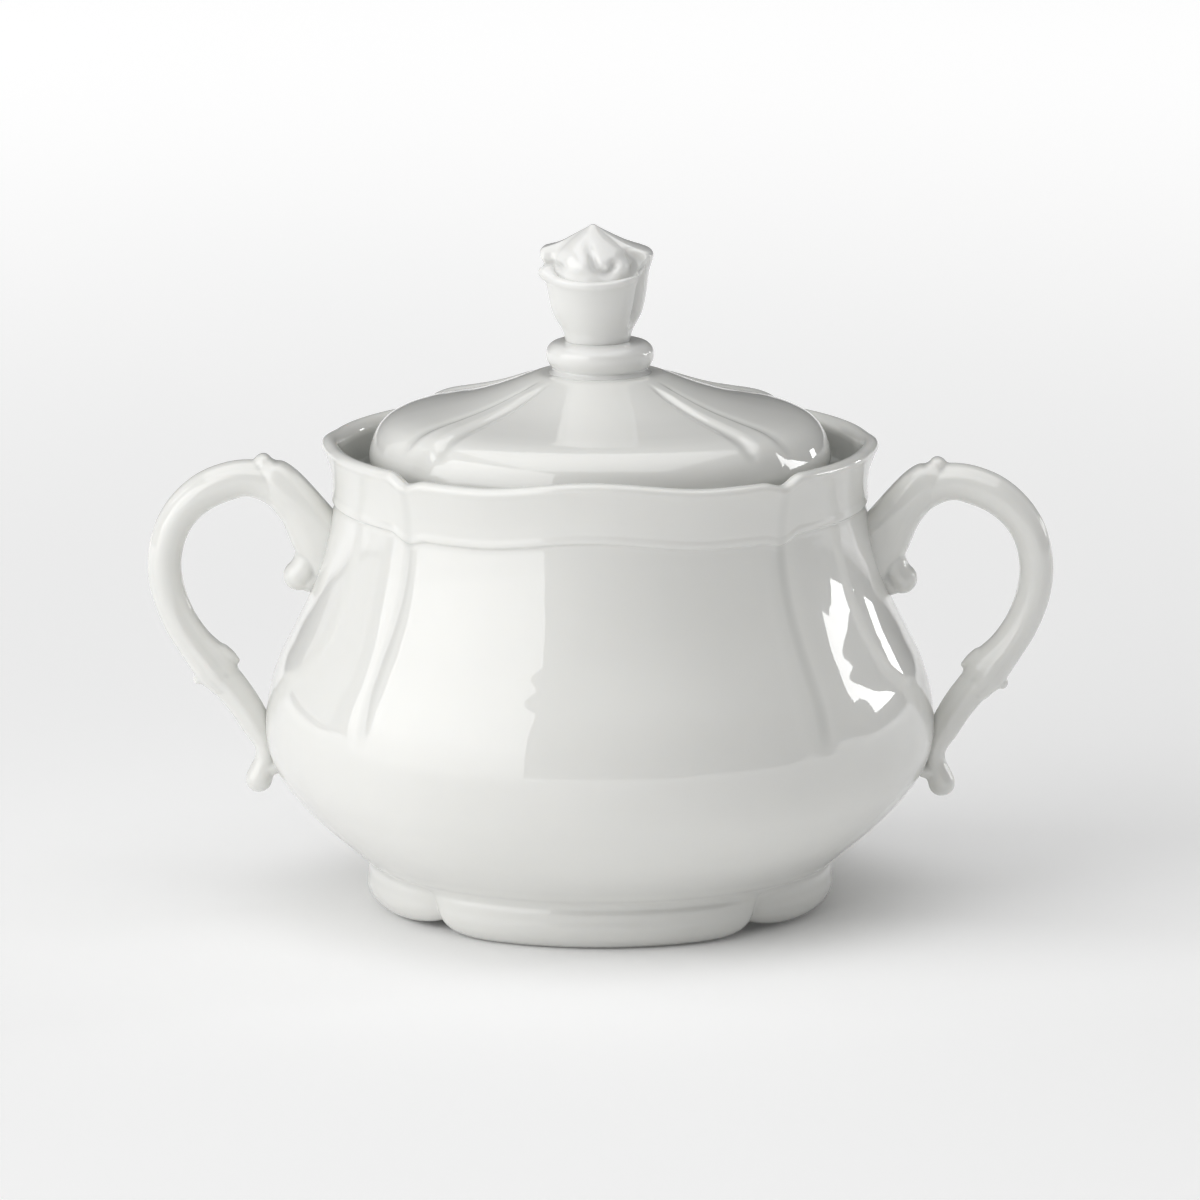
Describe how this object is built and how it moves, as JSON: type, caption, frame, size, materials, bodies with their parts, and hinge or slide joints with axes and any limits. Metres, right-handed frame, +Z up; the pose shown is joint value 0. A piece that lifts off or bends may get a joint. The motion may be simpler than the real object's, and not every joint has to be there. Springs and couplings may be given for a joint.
{
  "type": "sugar bowl",
  "caption": "Round-bellied white porcelain bowl with scroll handles and a lobed foot, closed by an inset domed lid with a rosebud knob, for serving sugar at table.",
  "frame": {"origin": "centre of the plane that the foot stands on", "axes": "+Z up out of the bowl, +X towards the right handle, +Y away from the front"},
  "size_m": [0.15, 0.1108, 0.1136],
  "materials": {
    "body_glaze": "clear gloss glaze over white porcelain",
    "foot_glaze": "clear gloss glaze, with an unglazed bisque rim where the foot stands",
    "handle_glaze": "clear gloss glaze, slightly pooled in the creases",
    "lid_glaze": "clear gloss glaze over white porcelain",
    "flange_glaze": "thin gloss glaze, dry at the lower edge",
    "knob_glaze": "clear gloss glaze, slightly pooled between the petals"
  },
  "bodies": {
    "bowl": {"bowl_body": "body_glaze", "foot_ring": "foot_glaze", "handle_left": "handle_glaze", "handle_right": "handle_glaze"},
    "lid": {"lid_dome": "lid_glaze", "lid_flange": "flange_glaze", "knob_collar": "knob_glaze", "knob_rosebud": "knob_glaze"}
  },
  "joints": [
    {"name": "lid_lift", "type": "slide", "parent": "bowl", "child": "lid", "axis": [0, 0, 1], "range_m": [0, 0.06]}
  ]
}
